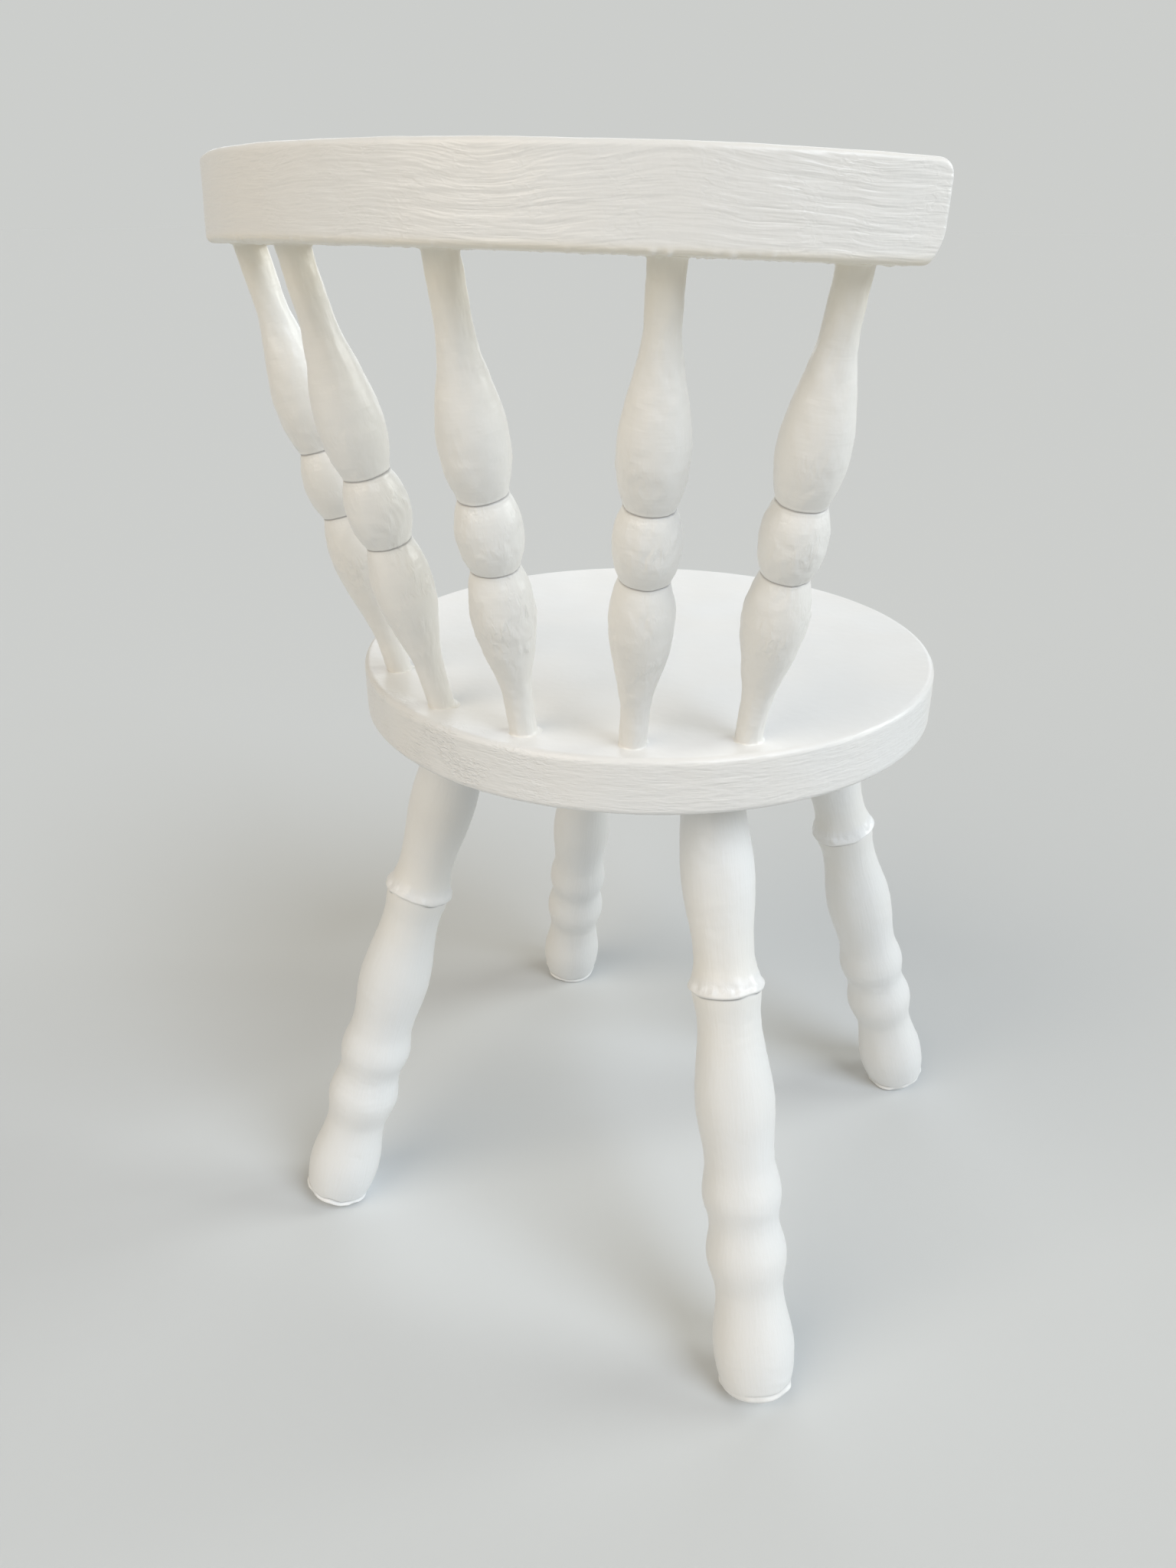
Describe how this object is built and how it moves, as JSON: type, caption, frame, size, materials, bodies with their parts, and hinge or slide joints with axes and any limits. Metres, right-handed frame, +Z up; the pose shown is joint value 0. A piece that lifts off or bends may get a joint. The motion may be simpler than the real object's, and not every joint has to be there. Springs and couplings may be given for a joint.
{
  "type": "child's spindle-back chair",
  "caption": "Small round-seat chair with splayed turned legs and turned spindles fanning up to a curved back rail, brush-painted off-white.",
  "frame": {"origin": "on the floor, at the middle of the chair's bounding box in plan", "axes": "+Z up; -Y the way a sitter faces, so the back rail is on the +Y side and +X is the sitter's left"},
  "size_m": [0.3011, 0.3365, 0.5382],
  "materials": {
    "seat_paint": "satin off-white paint, brushed on",
    "rail_paint": "satin off-white paint, brushed on along the grain",
    "spindle_paint": "satin off-white paint, brushed on, a little lumpy",
    "leg_paint": "satin off-white paint, brushed on"
  },
  "bodies": {
    "root": {"seat": "seat_paint", "crest_rail": "rail_paint", "spindle_1": "spindle_paint", "spindle_2": "spindle_paint", "spindle_3": "spindle_paint", "spindle_4": "spindle_paint", "spindle_5": "spindle_paint", "leg_rear_left": "leg_paint", "leg_rear_right": "leg_paint", "leg_front_left": "leg_paint", "leg_front_right": "leg_paint"}
  },
  "joints": []
}
